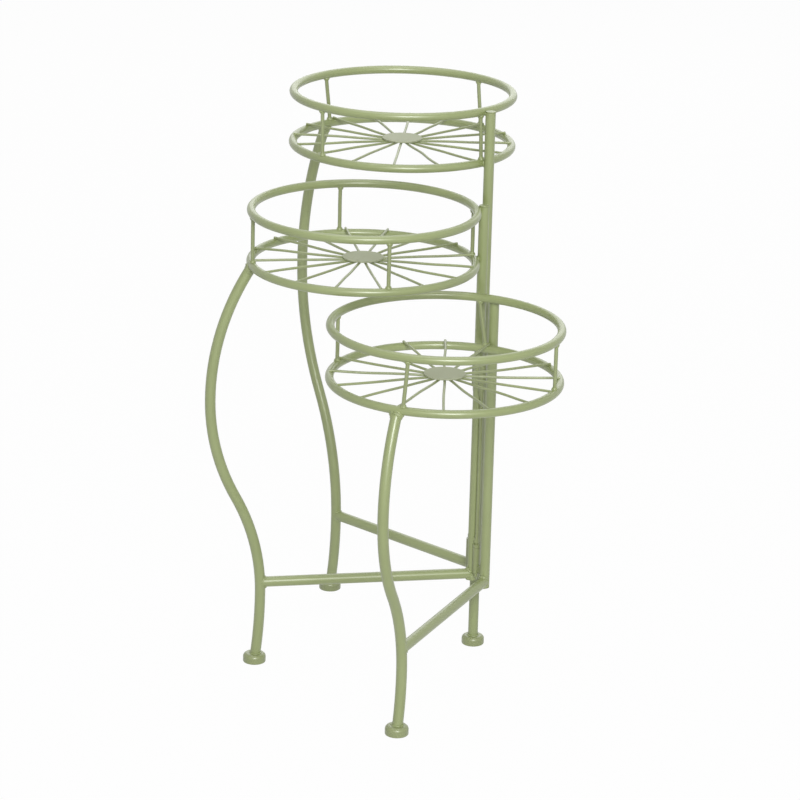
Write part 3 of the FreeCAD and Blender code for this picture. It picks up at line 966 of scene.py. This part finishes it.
@dataclass
class Studio:
    """Floor, soft light, white surroundings and the camera of the picture.

    Lengths are in metres, angles in degrees, and lens and sensor in millimetres.
    """

    camera_at: Vector = field(default_factory=lambda: Vector((-0.8259, -3.8365, 1.5905)))
    look: Vector = field(default_factory=lambda: Vector((0.18479, 0.98278, 0)))
    pitch: float = 17.824
    roll: float = 1.508
    lens: float = 146.0
    sensor: float = 36.0
    floor_size: float = 60.0
    floor_tone: float = 0.8
    floor_white: float = 0.975
    sky: float = 0.13
    lamps: tuple[Lamp, ...] = (Lamp("front_light", (-0.4, -4.3, 2.35), 1.7, 152.0),
                               Lamp("top_light", (-0.2, 0.1, 2.8), 2.0, 19.0),
                               Lamp("left_light", (-2.4, -1.2, 1.5), 1.6, 1.5),
                               Lamp("right_light", (2.4, -1.0, 1.5), 1.6, 1.5),
                               Lamp("rear_light", (0.9, 3.2, 2.2), 3.6, 30.0))

    def build(self) -> None:
        """Make everything round the object."""
        self.build_floor()
        self.build_world()
        for lamp in self.lamps:
            lamp.hang((CAD_BOX[0] + CAD_BOX[1]) / 2)
        self.build_camera()

    def build_floor(self) -> None:
        """Lay a pale floor that keeps the object's shadow."""
        reach = self.floor_size / 2
        mesh = bpy.data.meshes.new("floor")
        mesh.from_pydata([(-reach, -reach, 0), (reach, -reach, 0), (reach, reach, 0),
                          (-reach, reach, 0)], [], [(0, 1, 2, 3)])
        floor = bpy.data.objects.new("floor", mesh)
        bpy.context.scene.collection.objects.link(floor)
        material = bpy.data.materials.new("floor")
        material.use_nodes = True
        material.node_tree.nodes.clear()
        nodes = Nodes(material.node_tree)
        tone = self.floor_tone
        pale = nodes.node("ShaderNodeBsdfDiffuse", None, {"Color": (tone, tone, tone, 1.0)})
        white = nodes.node("ShaderNodeEmission", None, {"Color": WHITE, "Strength": 1.0})
        seen = self.seen(nodes) * self.floor_white
        mixed = nodes.node("ShaderNodeMixShader", None, {0: seen, 1: pale, 2: white})
        nodes.node("ShaderNodeOutputMaterial", None, {"Surface": mixed})
        mesh.materials.append(material)

    def build_world(self) -> None:
        """Surround the object with white, at a lower level for its light."""
        world = bpy.data.worlds.new("studio")
        world.use_nodes = True
        world.node_tree.nodes.clear()
        nodes = Nodes(world.node_tree)
        light = nodes.node("ShaderNodeBackground", None, {"Color": WHITE, "Strength": self.sky})
        white = nodes.node("ShaderNodeBackground", None, {"Color": WHITE, "Strength": 1.0})
        mixed = nodes.node("ShaderNodeMixShader", None, {0: self.seen(nodes), 1: light, 2: white})
        nodes.node("ShaderNodeOutputWorld", None, {"Surface": mixed})
        bpy.context.scene.world = world

    @staticmethod
    def seen(nodes: Nodes) -> Wire:
        """Tell rays that show the surroundings from those that only light.

        Args:
            nodes: the tree that asks.

        Returns:
            1 for a ray from the camera, a reflection or a see-through surface, and 0 for others.
        """
        rays = [nodes.node("ShaderNodeLightPath", output=name)
                for name in ("Is Camera Ray", "Is Glossy Ray", "Is Transmission Ray")]
        return (rays[0] + rays[1] + rays[2]).within(0, 1)

    def build_camera(self) -> None:
        """Stand the camera where the picture was taken from."""
        tilt = math.radians(self.pitch)
        level = self.look.normalized()
        ahead = level * math.cos(tilt) - UP * math.sin(tilt)
        right = level.cross(UP).normalized()
        above = right.cross(ahead)
        lean = math.radians(self.roll)
        right, above = (right * math.cos(lean) + above * math.sin(lean),
                        above * math.cos(lean) - right * math.sin(lean))
        turn = Matrix((right, above, -ahead)).transposed()
        data = bpy.data.cameras.new("camera")
        data.lens = self.lens
        data.sensor_width = self.sensor
        camera = bpy.data.objects.new("camera", data)
        camera.matrix_world = Matrix.Translation(self.camera_at) @ turn.to_4x4()
        bpy.context.scene.collection.objects.link(camera)
        bpy.context.scene.camera = camera


def main() -> None:
    """Build, paint and weld the stand, then set it in the studio."""
    logging.basicConfig(level=logging.INFO, format="%(name)s: %(message)s")
    hoops, wires, beads = hoop_recipe(), wires_recipe(), bead_recipe()
    leg_frames = (LegFrame("tall", (-7.5, 1.5, 3.1, -5.9), seed=3), LegFrame("middle", seed=5),
                  LegFrame("low", (-4.4, 0.0, -9.5, 0.0), seed=8))
    welds = {leg_frame.name: Welds(leg_frame.body) for leg_frame in leg_frames}
    for leg_frame in leg_frames:
        seams = welds[leg_frame.name]
        leg_frame.build_hoops(hoops)
        leg_frame.build_spokes(wires, seams)
        leg_frame.build_uprights(wires, seams)
        leg_frame.dress()
        leg_frame.weld(seams)
    for hinge in (Hinge("rear", "tall"), Hinge("front", "low")):
        hinge.dress()
        hinge.weld(welds)
    for seams in welds.values():
        Finish.TUBE.on_piece(seams.build(beads), seams.body)
    Studio().build()
    bpy.context.scene.view_settings.view_transform = "Standard"


if __name__ == "__main__":
    main()
